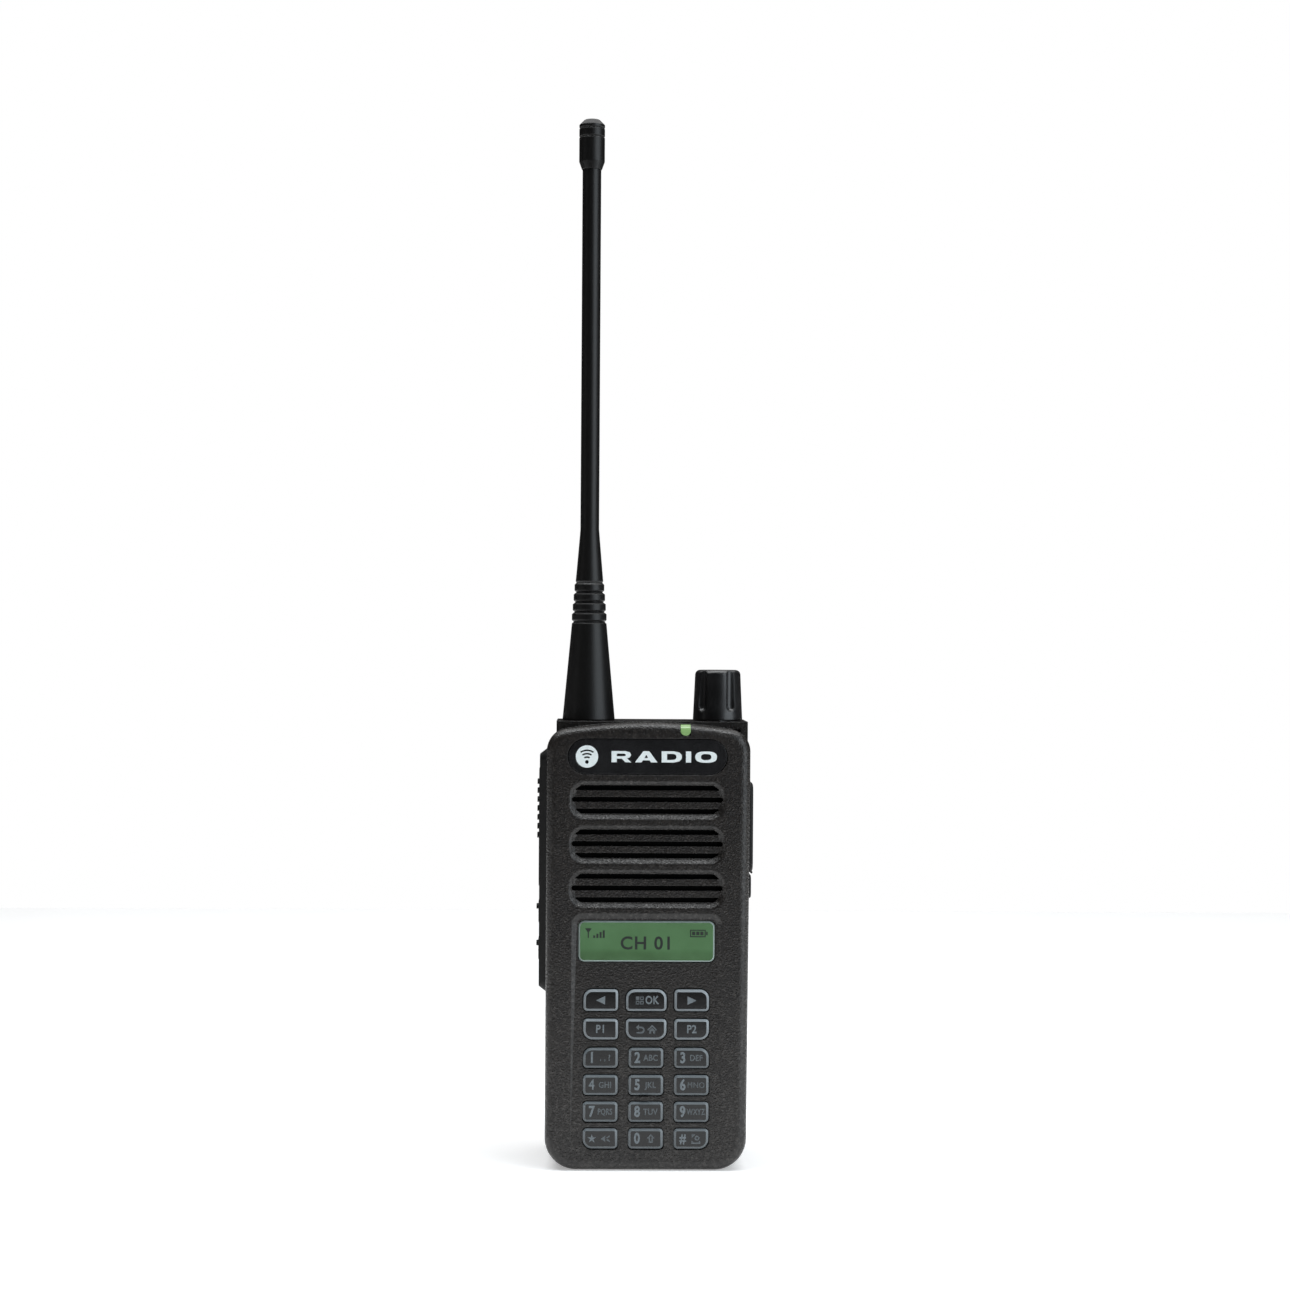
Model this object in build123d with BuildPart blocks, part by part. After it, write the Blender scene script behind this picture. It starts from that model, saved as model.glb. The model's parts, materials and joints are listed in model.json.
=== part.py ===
from build123d import *
from math import atan2, degrees
import os

# Portable two-way radio, standing on its base.
# Origin at the middle of the base, +Z up, the front faces -Y, sizes in millimetres.

# ---------------------------------------------------------------- driving dimensions
HEIGHT = 120.0
HALF_WIDTH = 27.0
HALF_WIDTH_UPPER = 27.6
FRONT = -19.0
BEZEL_BACK = -13.5
BEZEL_EDGE = 2.6
RADIO_BACK = 5.0
BATTERY_FRONT = 5.3
BATTERY_SPLIT = 9.0
BATTERY_BACK = 19.0
HUMP_BACK = 10.7
HUMP_BOTTOM = 103.0
BATTERY_TOP = 102.0
WALL = 2.0
INSIDE_FRONT = FRONT + WALL
CORNER = 8.5
AXIS_Y = -4.0
ANTENNA_X = -15.9
KNOB_X = 19.3

ARCH_TOP = 119.8
ARCH_ENDS = 117.2
ARCH_CORNER = 6.0
CAVITY_TOP = 116.3
NAMEPLATE_Z = 110.7
NAMEPLATE_SIZE = (42.9, 9.75)
NAMEPLATE_DEPTH = 0.9

GRILLE_SIZE = (41.4, 10.1)
GRILLE_CORNER = 4.0
GRILLE_CENTRE = 87.0
GRILLE_PITCH = 11.85
GRILLE_DEPTH = 1.1
GRILLE_SLOPE = 50
GRILLE_LIP = 1.1
SLOT_HEIGHT = 1.35
SLOT_RISE = 0.35
SLOT_END_ANGLE = 36
SLOT_END_ROUND = 0.2
SLOT_PITCH = 3.15
MIDDLE_SLOT = 40.4
OUTER_SLOT = 39.2

PANEL_WIDTH = 40.2
PANEL_TOP = 68.8
PANEL_FOOT = 5.5
PANEL_DEPTH = 0.8
PANEL_SLOPE = 62
PANEL_CORNER = 3.0

WINDOW_Z = 61.3
WINDOW_SIZE = (36.7, 11.2)
WINDOW_FACE = -18.5
WINDOW_BEVEL = 0.4

KEY_COLUMN_PITCH = 12.15
KEY_FACE = -19.35
KEY_BACK = -16.3
KEY_GAP = 0.3
KEY_WIDTH = 9.2
WIDE_KEY = 10.8
KEY_SHORT = 5.35
KEY_BIG_CORNER = 2.4
KEY_SMALL_CORNER = 1.0
KEY_FLANGE = 0.6
KEY_BEVEL = (0.62, 0.45)
KEY_DISH = 0.06
HOMING_BAR = (-0.3, 19.4)
HOMING_SIZE = (2.6, 1.0)
HOMING_HEIGHT = 0.35
MAT_FRONT = -15.6
MAT_THICKNESS = 0.8

LED_X = 10.1
LED_Z = 117.85
LED_SIZE = (2.8, 3.0)
LED_LENGTH = 3.0
MICROPHONE = (18.4, 72.2)

SIDE_Y = -4.5
FRAME_DEPTH = 14.0
FRAME_Z = (46.5, 112.3)
FRAME_THICKNESS = 2.0
SWITCH_X = -21.9
PTT_X = -28.0
PTT_Z = (74.5, 107.5)
PTT_WIDTH = 7.4
PTT_RIDGES = 7
PTT_RIDGE_PITCH = 2.43
PTT_RIDGE_MIDDLE = 96.0
UPPER_BUTTON_Z = (64.5, 71.5)
LOWER_BUTTON_Z = (54.5, 61.5)
SIDE_BUTTON_WIDTH = 6.4
SIDE_BUTTON_X = -27.8
STEM_LENGTH = 3.2
BUTTON_GAP = 0.3

COVER_Z = (78.95, 103.5)
COVER_X = 28.9
COVER_DEPTH = 11.0
RETAINER_Z = (71.95, 78.4)
RETAINER_X = (27.6, 28.45)
RETAINER_SCREW_X = (28.0, 28.5)
COVER_BASE_X = 27.75
COVER_HINGE = (28.6, 78.95)
COVER_BEAD = 0.3
JACK_Z = (82.0, 100.0)
JACK_DEPTH = 9.0
JACK_X = (14.0, 26.0)
BORE_LENGTH = 10.5
HEADSET_BORE = (1.77, 95.5)
SPEAKER_BORE = (1.27, 86.5)

LATCH_WIDTH = 18.0
LATCH_TONGUE = 10.0
LATCH_TAB = 11.0
LATCH_Z = (0.8, 5.0)
TONGUE_Z = (3.2, 4.6)
LATCH_GAP = 0.3
LATCH_Y = (7.6, 14.7)
LATCH_SPRING_X = 7.2
LATCH_SPRING_Y = (12.5, 17.4)
CELL_POCKET = (50.0, 92.0)
CELL_POCKET_Z = 54.0
CELL_SIZE = (22.0, 80.0)
CELL_Y = (7.8, 16.4)
LABEL_Z = 62.0
LABEL_SIZE = (40.0, 44.0)
LABEL_DEPTH = 0.35
GRIP_Z = 22.5
GRIP_PITCH = 3.0
GRIP_GROOVES = 5
GRIP_WIDTH = 30.0
CHARGE_Z = 34.0
CHARGE_PITCH = 7.5
LUG_CENTRE = (11.2, 102.5)
LUG_RADIUS = 1.0
LUG_GAP = 0.35

BOSS_X = 22.6
BOSS_Z = (14.0, 48.0)
BOSS_RADIUS = 1.9
SCREW_RADIUS = 0.95
SCREW_HEAD = 1.85
CHASSIS_Y = (2.0, 4.6)
CHASSIS_TOP = 106.0
BOARD_Y = (-3.0, -1.6)
BOARD_SIZE = (39.0, 99.0)
BOARD_Z = 54.5
SEAL_WIDTH = 0.5
CONTACT_Z = 94.0
CONTACT_PITCH = 5.0

KNOB_RADII = (6.75, 6.13)
KNOB_Z = (120.2, 133.9)
KNOB_FLUTES = 5
KNOB_TURN = -6
FLUTE_RADIUS = 1.55
FLUTE_CENTRE = 7.1
FLUTE_FOOT = 2.4
SHAFT_RADIUS = 3.0
SHAFT_Z = (112.5, 129.2)
VOLUME_BODY_Z = (106.4, 114.2)
VOLUME_BODY_SIZE = 10.6
VOLUME_COLLAR = 3.65

ANTENNA_TOP = 283.8
ROD_RADIUS = 2.55
ROD_START = 172.0
FOOT_RADIUS = 7.15
RING_START = 146.3
RING_PITCH = 2.68
RINGS = 4
RING_RADII = (4.73, 4.05)
RING_GROOVE = 0.5
CAP_START = 270.2
CAP_RADIUS = 3.5
CAP_GROOVES = (279.0, 281.4)
CAP_GROOVE = 0.25
CORE_RADIUS = 0.9
STUD_RADIUS = 2.5
STUD_Z = (109.0, 128.0)
SOCKET_Z = (107.0, 119.9)
SOCKET_RADIUS = 4.1
SOCKET_NUT_Z = 115.0

ROWS = {"A": 45.65, "B": 37.9, "C": 30.25, "D": 23.0, "E": 15.85, "F": 8.7}
ROW_HEIGHT = {"A": 5.74, "B": 5.5, "C": KEY_SHORT, "D": KEY_SHORT, "E": KEY_SHORT, "F": KEY_SHORT}

# name: (column, row, corners that take the big radius)
KEYS = {
    "key_left": (-1, "A", ["top left"]),
    "key_ok": (0, "A", ["top left", "top right"]),
    "key_right": (1, "A", ["top right"]),
    "key_p1": (-1, "B", ["bottom left"]),
    "key_home": (0, "B", ["bottom left", "bottom right"]),
    "key_p2": (1, "B", ["bottom right"]),
    "key_1": (-1, "C", ["top left"]),
    "key_2": (0, "C", []),
    "key_3": (1, "C", ["top right"]),
    "key_4": (-1, "D", []),
    "key_5": (0, "D", []),
    "key_6": (1, "D", []),
    "key_7": (-1, "E", []),
    "key_8": (0, "E", []),
    "key_9": (1, "E", []),
    "key_star": (-1, "F", ["bottom left"]),
    "key_0": (0, "F", []),
    "key_hash": (1, "F", ["bottom right"]),
}


def facing(y):
    """The plane at depth y that looks forward, with its second axis up."""
    return Plane.XZ.offset(-y)


def side(x):
    """The plane across the radio at x, with its axes along Y and Z."""
    return Plane.YZ.offset(x)


def outward_left(x):
    """The plane at x that looks away from the left side, with axes along -Y and Z."""
    return Plane(origin=(x, 0, 0), x_dir=(0, -1, 0), z_dir=(-1, 0, 0))


def upright(x, y):
    """The plane through the upright axis at x and y, with its second axis up that axis."""
    return Plane(origin=(x, y, 0), x_dir=(1, 0, 0), z_dir=(0, -1, 0))


def upright_axis(x, y):
    return Axis((x, y, 0), (0, 0, 1))


def save(builder, label):
    builder.part.label = label
    export_step(builder.part, f"parts/{label}.step")


def key_size(name):
    column, row, _ = KEYS[name]
    width = WIDE_KEY if column == 0 and row in "AB" else KEY_WIDTH
    return width, ROW_HEIGHT[row]


def key_centre(name):
    column, row, _ = KEYS[name]
    return column * KEY_COLUMN_PITCH, ROWS[row]


def key_outline(name, grow):
    """The outline of one key, grown outwards, as a face around the key's centre."""
    width, height = key_size(name)
    half = (width / 2 + grow, height / 2 + grow)
    big_corners = KEYS[name][2]
    with BuildSketch(mode=Mode.PRIVATE) as face:
        Rectangle(2 * half[0], 2 * half[1])
        for corner in ("top left", "top right", "bottom left", "bottom right"):
            x = half[0] if "right" in corner else -half[0]
            y = half[1] if "top" in corner else -half[1]
            radius = KEY_BIG_CORNER if corner in big_corners else KEY_SMALL_CORNER
            fillet(face.vertices().sort_by_distance((x, y, 0))[0], radius + grow)
    return face.sketch


def body_outline(grow=0.0):
    """The silhouette of the radio behind its bezel, as a face in X and Z."""
    with BuildSketch(mode=Mode.PRIVATE) as outline:
        with BuildLine():
            Polyline(
                (-HALF_WIDTH, 0),
                (HALF_WIDTH, 0),
                (HALF_WIDTH_UPPER, 103),
                (HALF_WIDTH_UPPER, 112.2),
                (27.05, 113.2),
                (27.05, HEIGHT),
                (-24.5, HEIGHT),
                (-24.5, 116.6),
                (-HALF_WIDTH, 112.4),
                close=True,
            )
        make_face()
        fillet(outline.vertices().group_by(Axis.Y)[0], CORNER)
        shoulders = [v for v in outline.vertices() if v.X < -24 and 112 < v.Y < 117]
        fillet(shoulders, 2.0)
        if grow:
            offset(amount=grow, kind=Kind.INTERSECTION)
    return outline.sketch


def bezel_outline():
    """The silhouette of the front, with its top corners rounded into an arch."""
    with BuildSketch(mode=Mode.PRIVATE) as outline:
        with BuildLine():
            Polyline(
                (-HALF_WIDTH, 0),
                (HALF_WIDTH, 0),
                (HALF_WIDTH_UPPER, 103),
                (HALF_WIDTH_UPPER, ARCH_ENDS),
            )
            ThreePointArc((HALF_WIDTH_UPPER, ARCH_ENDS), (0, ARCH_TOP), (-HALF_WIDTH, ARCH_ENDS))
            Line((-HALF_WIDTH, ARCH_ENDS), (-HALF_WIDTH, 0))
        make_face()
        fillet(outline.vertices().group_by(Axis.Y)[0], CORNER)
        fillet(outline.vertices().group_by(Axis.Y)[-1], ARCH_CORNER)
    return outline.sketch


def battery_outline():
    """The silhouette of the battery pack, as a face in X and Z."""
    with BuildSketch(mode=Mode.PRIVATE) as outline:
        with BuildLine():
            Polyline(
                (-HALF_WIDTH, 0),
                (HALF_WIDTH, 0),
                (HALF_WIDTH, BATTERY_TOP),
                (-HALF_WIDTH, BATTERY_TOP),
                close=True,
            )
        make_face()
        fillet(outline.vertices().group_by(Axis.Y)[0], CORNER)
        fillet(outline.vertices().group_by(Axis.Y)[-1], 2.0)
    return outline.sketch


def sleeve_profile():
    """The outer points of the antenna sleeve: a flared foot, four rings and a slim rod."""
    points = [(0, HEIGHT), (FOOT_RADIUS, HEIGHT), (RING_RADII[0], RING_START)]
    for ring in range(RINGS):
        foot = RING_START + ring * RING_PITCH
        radius = RING_RADII[0] + (RING_RADII[1] - RING_RADII[0]) * ring / (RINGS - 1)
        points += [
            (radius - RING_GROOVE, foot + 0.5),
            (radius, foot + 1.0),
            (radius, foot + RING_PITCH - 0.1),
        ]
    top = RING_START + RINGS * RING_PITCH + 0.4
    points += [
        (RING_RADII[1] - RING_GROOVE, top),
        (RING_RADII[1] - 0.3, top + 0.5),
        (ROD_RADIUS, ROD_START),
        (ROD_RADIUS, CAP_START),
        (0, CAP_START),
    ]
    return points


def cap_profile():
    """The outer points of the antenna cap, with its two fine grooves."""
    points = [(0, CAP_START), (ROD_RADIUS + 0.2, CAP_START), (CAP_RADIUS, CAP_START + 2.1)]
    for z in CAP_GROOVES:
        points += [(CAP_RADIUS, z - CAP_GROOVE), (CAP_RADIUS - CAP_GROOVE, z), (CAP_RADIUS, z + CAP_GROOVE)]
    points += [(CAP_RADIUS, ANTENNA_TOP - 1.5), (CAP_RADIUS - 1.5, ANTENNA_TOP), (0, ANTENNA_TOP)]
    return points


def chassis_screw_circles(radius):
    """Draw a circle at each chassis screw, in the open sketch."""
    for x in (-BOSS_X, BOSS_X):
        for z in BOSS_Z:
            with Locations((x, z)):
                Circle(radius)


def latch_spring_circles(radius, mode=Mode.ADD):
    """Draw a circle at each latch spring, in the open sketch."""
    for x in (-LATCH_SPRING_X, LATCH_SPRING_X):
        with Locations((x, sum(LATCH_Z) / 2)):
            Circle(radius, mode=mode)


os.makedirs("parts", exist_ok=True)

# ---------------------------------------------------------------- front housing
# The tapered recess around the display and the keys, deepest at its top and gone at its foot.
with BuildPart() as panel_recess:
    with BuildSketch(facing(FRONT)):
        with Locations((0, (PANEL_TOP + PANEL_FOOT) / 2)):
            RectangleRounded(PANEL_WIDTH, PANEL_TOP - PANEL_FOOT, PANEL_CORNER)
    extrude(amount=-PANEL_DEPTH, taper=PANEL_SLOPE)
    with BuildSketch(Plane.YZ):
        with BuildLine():
            Polyline(
                (FRONT - 1.5, PANEL_FOOT),
                (FRONT, PANEL_FOOT),
                (FRONT + PANEL_DEPTH, PANEL_TOP),
                (FRONT + PANEL_DEPTH, PANEL_TOP + 1),
                (FRONT - 1.5, PANEL_TOP + 1),
                close=True,
            )
        make_face()
    extrude(amount=PANEL_WIDTH, both=True, mode=Mode.INTERSECT)

with BuildPart() as front_housing:
    # Outer form: the straight body, the bezel in front of it and the hump behind its top.
    with BuildSketch(facing(RADIO_BACK)):
        add(body_outline())
    extrude(amount=RADIO_BACK - BEZEL_BACK)
    with BuildSketch(facing(BEZEL_BACK)):
        add(bezel_outline())
    extrude(amount=BEZEL_BACK - FRONT)
    fillet(front_housing.faces().sort_by(Axis.Y)[0].edges(), BEZEL_EDGE)
    with BuildSketch(facing(HUMP_BACK)):
        add(body_outline())
        with Locations((0, HUMP_BOTTOM / 2)):
            Rectangle(80, HUMP_BOTTOM, mode=Mode.SUBTRACT)
    extrude(amount=HUMP_BACK - RADIO_BACK)
    fillet(front_housing.faces().sort_by(Axis.Y)[-1].edges().filter_by(Axis.Z, reverse=True), 1.5)
    # Cavity, open at the back below the hump.
    with BuildSketch(facing(RADIO_BACK)):
        add(body_outline(-WALL))
        with Locations((0, HEIGHT)):
            Rectangle(80, 2 * (HEIGHT - CAVITY_TOP), mode=Mode.SUBTRACT)
    extrude(amount=RADIO_BACK - INSIDE_FRONT, mode=Mode.SUBTRACT)
    with BuildSketch(facing(HUMP_BACK - WALL)):
        add(body_outline(-WALL))
        with Locations((0, (HUMP_BOTTOM + WALL) / 2)):
            Rectangle(80, HUMP_BOTTOM + WALL, mode=Mode.SUBTRACT)
    extrude(amount=HUMP_BACK - WALL - BEZEL_BACK, mode=Mode.SUBTRACT)
    # Speaker grille: three shallow dishes with soft lips, each with three slots through the wall.
    with BuildSketch(facing(FRONT)):
        with Locations((0, GRILLE_CENTRE)):
            with GridLocations(0, GRILLE_PITCH, 1, 3):
                RectangleRounded(*GRILLE_SIZE, GRILLE_CORNER)
    extrude(amount=-GRILLE_DEPTH, taper=GRILLE_SLOPE, mode=Mode.SUBTRACT)
    for rim in front_housing.faces().sort_by(Axis.Y)[0].inner_wires():
        fillet(front_housing.edges().filter_by(lambda e: e in rim.edges()), GRILLE_LIP)
    with BuildSketch(facing(FRONT)):
        with Locations((0, GRILLE_CENTRE + SLOT_RISE)):
            with GridLocations(0, GRILLE_PITCH, 1, 3):
                with Locations((0, SLOT_PITCH)):
                    Trapezoid(OUTER_SLOT, SLOT_HEIGHT, SLOT_END_ANGLE)
                with Locations((0, -SLOT_PITCH)):
                    Trapezoid(OUTER_SLOT, SLOT_HEIGHT, SLOT_END_ANGLE, rotation=180)
        fillet(vertices(), SLOT_END_ROUND)
        with Locations((0, GRILLE_CENTRE + SLOT_RISE)):
            with GridLocations(0, GRILLE_PITCH, 1, 3):
                SlotOverall(MIDDLE_SLOT, SLOT_HEIGHT)
    extrude(amount=-WALL - 1, mode=Mode.SUBTRACT)
    # Nameplate seat.
    with BuildSketch(facing(FRONT)):
        with Locations((0, NAMEPLATE_Z)):
            SlotOverall(*NAMEPLATE_SIZE)
    extrude(amount=-NAMEPLATE_DEPTH, mode=Mode.SUBTRACT)
    # Display panel, window opening and key openings.
    add(panel_recess.part, mode=Mode.SUBTRACT)
    with BuildSketch(facing(FRONT)):
        with Locations((0, WINDOW_Z)):
            RectangleRounded(*WINDOW_SIZE, 1.6)
    extrude(amount=-WALL - 1, mode=Mode.SUBTRACT)
    for name in KEYS:
        with BuildSketch(facing(FRONT - 0.5)):
            with Locations(key_centre(name)):
                add(key_outline(name, KEY_GAP))
        extrude(amount=-WALL - 1.5, mode=Mode.SUBTRACT)
    # Raised bar that a thumb finds under the middle key.
    with BuildSketch(facing(FRONT + PANEL_DEPTH)):
        with Locations(HOMING_BAR):
            RectangleRounded(*HOMING_SIZE, 0.4)
    extrude(amount=PANEL_DEPTH + HOMING_HEIGHT)
    # Status light hole in the front and the top.
    with BuildSketch(facing(FRONT - 0.5)):
        with Locations((LED_X, LED_Z + 0.5)):
            Rectangle(LED_SIZE[0], LED_SIZE[1] + 1.0)
    extrude(amount=-LED_LENGTH - 0.5, mode=Mode.SUBTRACT)
    # Antenna and volume control holes in the top.
    with BuildSketch(Plane.XY.offset(HEIGHT)):
        with Locations((ANTENNA_X, AXIS_Y)):
            Circle(4.3)
        with Locations((KNOB_X, AXIS_Y)):
            Circle(3.8)
    extrude(amount=-WALL - 1, mode=Mode.SUBTRACT)
    # Openings in the left side for the push-to-talk bar and the two side buttons.
    with BuildSketch(side(-HALF_WIDTH - 1)):
        for low, high in (PTT_Z, UPPER_BUTTON_Z, LOWER_BUTTON_Z):
            with Locations((SIDE_Y, (low + high) / 2)):
                RectangleRounded(4.4, high - low - 2.0, 1.5)
    extrude(amount=WALL + 2, mode=Mode.SUBTRACT)
    # Bosses for the chassis screws.
    with BuildSketch(facing(CHASSIS_Y[0])):
        chassis_screw_circles(BOSS_RADIUS)
    extrude(until=Until.NEXT)
    with BuildSketch(facing(CHASSIS_Y[0])):
        chassis_screw_circles(SCREW_RADIUS + 0.05)
    extrude(amount=10.0, mode=Mode.SUBTRACT)
    # Opening in the right side for the accessory jack.
    with BuildSketch(side(HALF_WIDTH_UPPER + 1)):
        with Locations((SIDE_Y, sum(JACK_Z) / 2)):
            RectangleRounded(JACK_DEPTH, JACK_Z[1] - JACK_Z[0], 2.0)
    extrude(amount=-WALL - 2, mode=Mode.SUBTRACT)
    # Relief under the hump for the lugs of the battery.
    with BuildSketch(side(0)):
        with Locations(LUG_CENTRE):
            Circle(LUG_RADIUS + LUG_GAP)
    extrude(amount=19.0, both=True, mode=Mode.SUBTRACT)
save(front_housing, "front_housing")

# ---------------------------------------------------------------- front trim
with BuildPart() as nameplate:
    with BuildSketch(facing(FRONT + NAMEPLATE_DEPTH)):
        with Locations((0, NAMEPLATE_Z)):
            SlotOverall(NAMEPLATE_SIZE[0] - 0.2, NAMEPLATE_SIZE[1] - 0.2)
    extrude(amount=NAMEPLATE_DEPTH - 0.2)
    chamfer(nameplate.faces().sort_by(Axis.Y)[0].edges(), 0.15)
save(nameplate, "nameplate")

with BuildPart() as display_window:
    with BuildSketch(facing(INSIDE_FRONT)):
        with Locations((0, WINDOW_Z)):
            RectangleRounded(WINDOW_SIZE[0] - 0.3, WINDOW_SIZE[1] - 0.3, 1.6)
    extrude(amount=INSIDE_FRONT - WINDOW_FACE)
    chamfer(display_window.faces().sort_by(Axis.Y)[0].edges(), WINDOW_BEVEL)
    with BuildSketch(facing(INSIDE_FRONT)):
        with Locations((0, WINDOW_Z)):
            RectangleRounded(WINDOW_SIZE[0] + 1.8, WINDOW_SIZE[1] + 1.6, 2.2)
    extrude(amount=-0.8)
save(display_window, "display_window")

with BuildPart() as display_module:
    with BuildSketch(facing(-12.4)):
        with Locations((0, WINDOW_Z)):
            RectangleRounded(39.0, 14.5, 0.8)
    extrude(amount=3.4)
save(display_module, "display_module")

with BuildPart() as status_light:
    with BuildSketch(facing(FRONT + LED_LENGTH)):
        with Locations((LED_X, LED_Z)):
            Rectangle(LED_SIZE[0] - 0.1, LED_SIZE[1] - 0.1)
    extrude(amount=LED_LENGTH)
    lens_edge = status_light.faces().sort_by(Axis.Y)[0].edges().sort_by(Axis.Z)[-1]
    fillet(lens_edge, 2.2)
    fillet(status_light.edges().filter_by(Axis.Y).sort_by(Axis.Z)[:2], 1.3)
save(status_light, "status_light")

# ---------------------------------------------------------------- keys
for name in KEYS:
    with BuildPart() as key:
        with BuildSketch(facing(KEY_BACK)):
            with Locations(key_centre(name)):
                add(key_outline(name, 0))
        extrude(amount=KEY_BACK - KEY_FACE - KEY_BEVEL[1])
        with BuildSketch(facing(KEY_FACE + KEY_BEVEL[1])):
            with Locations(key_centre(name)):
                add(key_outline(name, 0))
        extrude(amount=KEY_BEVEL[1], taper=degrees(atan2(*KEY_BEVEL)))
        with BuildSketch(facing(KEY_FACE)):
            add(key.faces().sort_by(Axis.Y)[0])
            offset(amount=-0.1, kind=Kind.INTERSECTION)
        extrude(amount=-KEY_DISH, mode=Mode.SUBTRACT)
        with BuildSketch(facing(KEY_BACK)):
            with Locations(key_centre(name)):
                add(key_outline(name, KEY_FLANGE))
        extrude(amount=0.6)
    save(key, name)

with BuildPart() as keypad_mat:
    with BuildSketch(facing(MAT_FRONT + MAT_THICKNESS)):
        with Locations((0, 26.9)):
            RectangleRounded(37.0, 44.8, 1.5)
    extrude(amount=MAT_THICKNESS)
    with BuildSketch(facing(MAT_FRONT)):
        for name in KEYS:
            with Locations(key_centre(name)):
                Circle(1.6)
    extrude(amount=0.1)
save(keypad_mat, "keypad_mat")

# ---------------------------------------------------------------- sound
with BuildPart() as speaker_felt:
    with BuildSketch(facing(-16.3)):
        with Locations((0, GRILLE_CENTRE)):
            RectangleRounded(GRILLE_SIZE[0], 3 * GRILLE_PITCH - 1.5, 2.0)
    extrude(amount=0.5)
save(speaker_felt, "speaker_felt")

with BuildPart() as speaker_basket:
    with BuildSketch(facing(-12.0)):
        with Locations((0, GRILLE_CENTRE)):
            Circle(16.5)
    extrude(amount=4.2)
    with BuildSketch(facing(-13.0)):
        with Locations((0, GRILLE_CENTRE)):
            Circle(15.7)
    extrude(amount=4.0, mode=Mode.SUBTRACT)
    with BuildSketch(facing(-12.0)):
        with Locations((0, GRILLE_CENTRE)):
            Circle(8.5)
    extrude(amount=-3.0)
save(speaker_basket, "speaker_basket")

with BuildPart() as speaker_cone:
    with BuildSketch(Plane.YZ):
        with BuildLine():
            Polyline(
                (-15.9, GRILLE_CENTRE + 15.3),
                (-13.4, GRILLE_CENTRE + 5.0),
                (-14.4, GRILLE_CENTRE),
                (-13.9, GRILLE_CENTRE),
                (-13.05, GRILLE_CENTRE + 5.0),
                (-15.4, GRILLE_CENTRE + 15.3),
                close=True,
            )
        make_face()
    revolve(axis=Axis((0, 0, GRILLE_CENTRE), (0, 1, 0)))
save(speaker_cone, "speaker_cone")

with BuildPart() as microphone:
    with BuildSketch(facing(-14.2)):
        with Locations(MICROPHONE):
            Circle(2.0)
    extrude(amount=2.0)
save(microphone, "microphone")

# ---------------------------------------------------------------- chassis and electronics
with BuildPart() as chassis:
    with BuildSketch(facing(CHASSIS_Y[1])):
        add(body_outline(-WALL - 0.6))
        with Locations((0, CHASSIS_TOP + 20)):
            Rectangle(80, 40, mode=Mode.SUBTRACT)
        with Locations((0, sum(TONGUE_Z) / 2)):
            Rectangle(
                LATCH_TONGUE + 2 * LATCH_GAP,
                TONGUE_Z[1] - TONGUE_Z[0] + 2 * LATCH_GAP,
                mode=Mode.SUBTRACT,
            )
    extrude(amount=CHASSIS_Y[1] - CHASSIS_Y[0])
    with BuildSketch(facing(CHASSIS_Y[1])):
        chassis_screw_circles(SCREW_RADIUS + 0.2)
    extrude(amount=4.0, mode=Mode.SUBTRACT)
    with BuildSketch(facing(CHASSIS_Y[1])):
        chassis_screw_circles(SCREW_HEAD + 0.15)
    extrude(amount=1.0, mode=Mode.SUBTRACT)
save(chassis, "chassis")

with BuildPart() as chassis_screws:
    with BuildSketch(facing(CHASSIS_Y[1] - 1.0)):
        chassis_screw_circles(SCREW_RADIUS)
    extrude(amount=9.0)
    with BuildSketch(facing(CHASSIS_Y[1])):
        chassis_screw_circles(SCREW_HEAD)
    extrude(amount=1.0)
save(chassis_screws, "chassis_screws")

with BuildPart() as main_seal:
    with BuildSketch(facing(CHASSIS_Y[1] - 0.8)):
        add(body_outline(-WALL - 0.05))
        add(body_outline(-WALL - 0.05 - SEAL_WIDTH), mode=Mode.SUBTRACT)
        with Locations((0, CHASSIS_TOP + 20)):
            Rectangle(80, 40, mode=Mode.SUBTRACT)
    extrude(amount=1.0)
save(main_seal, "main_seal")

with BuildPart() as main_board:
    with BuildSketch(facing(BOARD_Y[1])):
        with Locations((0, BOARD_Z)):
            RectangleRounded(*BOARD_SIZE, 1.5)
        with Locations((16.5, 93.0)):
            Rectangle(7.0, 25.0, mode=Mode.SUBTRACT)
    extrude(amount=BOARD_Y[1] - BOARD_Y[0])
save(main_board, "main_board")

with BuildPart() as shield_cans:
    with BuildSketch(facing(BOARD_Y[0])):
        with Locations((0, 20.0)):
            RectangleRounded(30.0, 22.0, 1.0)
        with Locations((-6.0, 50.0)):
            RectangleRounded(22.0, 28.0, 1.0)
        with Locations((12.0, 50.0)):
            RectangleRounded(9.0, 20.0, 1.0)
    extrude(amount=2.4)
save(shield_cans, "shield_cans")

with BuildPart() as radio_contacts:
    with BuildSketch(facing(CHASSIS_Y[1] + 0.5)):
        with Locations((0, CONTACT_Z)):
            with GridLocations(CONTACT_PITCH, 0, 4, 1):
                RectangleRounded(2.4, 5.0, 0.8)
    extrude(amount=0.5)
save(radio_contacts, "radio_contacts")

with BuildPart() as side_switches:
    with BuildSketch(side(SWITCH_X)):
        with Locations((SIDE_Y, 80.0)):
            Rectangle(7.0, 56.0)
    extrude(amount=0.4)
    with BuildSketch(side(SWITCH_X)):
        for low, high in (PTT_Z, UPPER_BUTTON_Z, LOWER_BUTTON_Z):
            with Locations((SIDE_Y, (low + high) / 2)):
                Rectangle(4.5, 4.5)
    extrude(amount=-1.8)
save(side_switches, "side_switches")

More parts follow.
